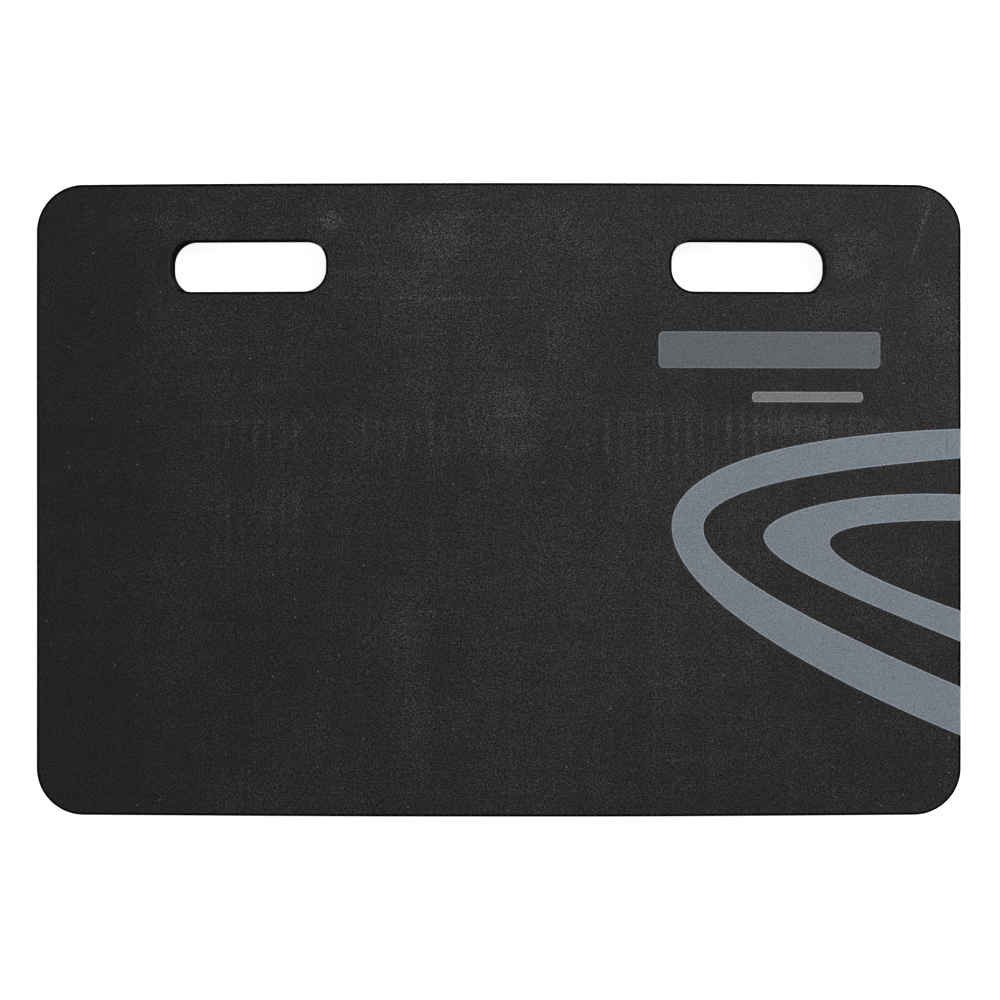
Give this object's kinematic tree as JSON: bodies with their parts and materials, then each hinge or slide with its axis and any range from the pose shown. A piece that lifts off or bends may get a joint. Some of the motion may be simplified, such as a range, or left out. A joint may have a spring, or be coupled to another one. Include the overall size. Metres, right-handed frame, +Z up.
{
  "type": "kneeling pad",
  "caption": "Rectangular slab of closed-cell foam to kneel on, with rounded corners, hand slots cut through near one long edge, and printed bands on the upper skin.",
  "frame": {"origin": "middle of the underside, on the surface the pad lies on", "axes": "+X along the long side, +Y towards the edge with the hand slots, +Z up out of the printed face"},
  "size_m": [0.533, 0.363, 0.0252],
  "materials": {
    "foam_core": "die-cut closed-cell foam, open pores on the cut wall, matt",
    "foam_skin": "closed foam skin with a fine mottled grain, matt, dusty scuffs",
    "band_ink": "matt blue-grey screen print",
    "label_ink": "matt darker blue-grey screen print",
    "label_line_ink": "matt light grey screen print"
  },
  "bodies": {
    "root": {"foam_core": "foam_core", "top_skin": "foam_skin", "bottom_skin": "foam_skin", "outer_band_print": "band_ink", "inner_band_print": "band_ink", "label_bar_print": "label_ink", "label_line_print": "label_line_ink"}
  },
  "joints": []
}
